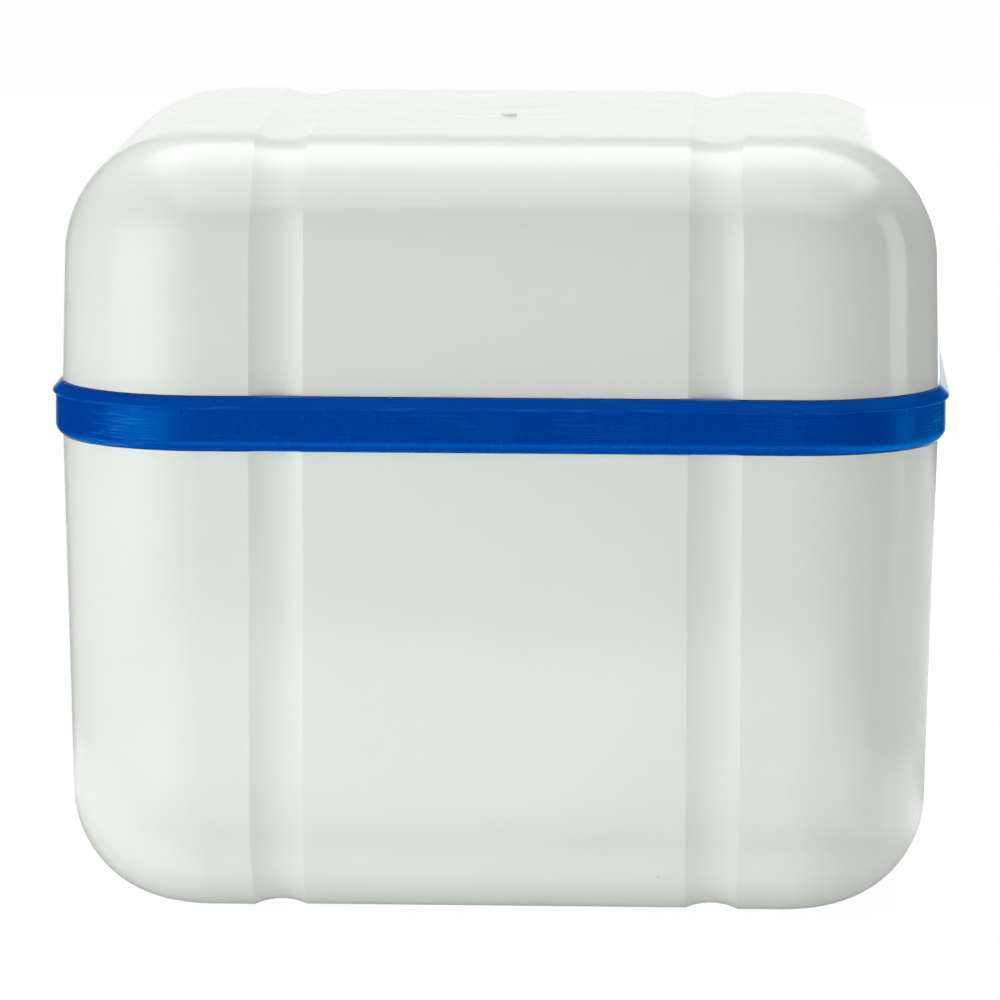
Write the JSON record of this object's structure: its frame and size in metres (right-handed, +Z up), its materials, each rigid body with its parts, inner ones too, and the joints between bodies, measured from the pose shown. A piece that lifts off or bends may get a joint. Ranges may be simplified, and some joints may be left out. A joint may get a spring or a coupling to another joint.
{
  "type": "denture case",
  "caption": "Rounded box for soaking and carrying a denture, with a back-hinged lid, blue sealing rings, a lift-out strainer basket with a bail and a mirror in the lid.",
  "frame": {"origin": "middle of the underside's foot pad, under the centre of the case's rounded outline", "axes": "+X to the right seen from the front, +Y towards the hinge at the back, +Z up"},
  "size_m": [0.094, 0.0835, 0.0814],
  "materials": {
    "shell_plastic": "glossy moulded off-white",
    "ring_plastic": "satin, slightly translucent blue",
    "seal_silicone": "soft translucent silicone",
    "pin_steel": "drawn stainless wire",
    "pad_foam": "white foam adhesive pad",
    "mirror_glass": "silvered glass",
    "bezel_plastic": "satin blue",
    "basket_plastic": "frosted white, fine moulded texture",
    "handle_plastic": "satin blue"
  },
  "bodies": {
    "tub": {"base_shell": "shell_plastic", "base_collar": "ring_plastic", "water_seal": "seal_silicone", "hinge_pin": "pin_steel"},
    "lid": {"lid_shell": "shell_plastic", "lid_ring": "ring_plastic", "mirror_pad": "pad_foam", "mirror_glass": "mirror_glass", "mirror_bezel": "bezel_plastic"},
    "basket": {"strainer_basket": "basket_plastic"},
    "bail": {"basket_handle": "handle_plastic"}
  },
  "joints": [
    {"name": "lid_hinge", "type": "hinge", "parent": "tub", "child": "lid", "pos_m": [0, 0.0413, 0.05375], "axis": [-1, 0, 0], "range_deg": [0, 110]},
    {"name": "basket_lift", "type": "slide", "parent": "tub", "child": "basket", "axis": [0, 0, 1], "range_m": [0, 0.06]},
    {"name": "bail_swing", "type": "hinge", "parent": "basket", "child": "bail", "pos_m": [0, 0, 0.049], "axis": [-1, 0, 0], "range_deg": [0, 180]}
  ],
  "couplings": [
    {"joint": "basket_lift", "follows": "lid_hinge", "m_per_rad": 0.03125}
  ]
}
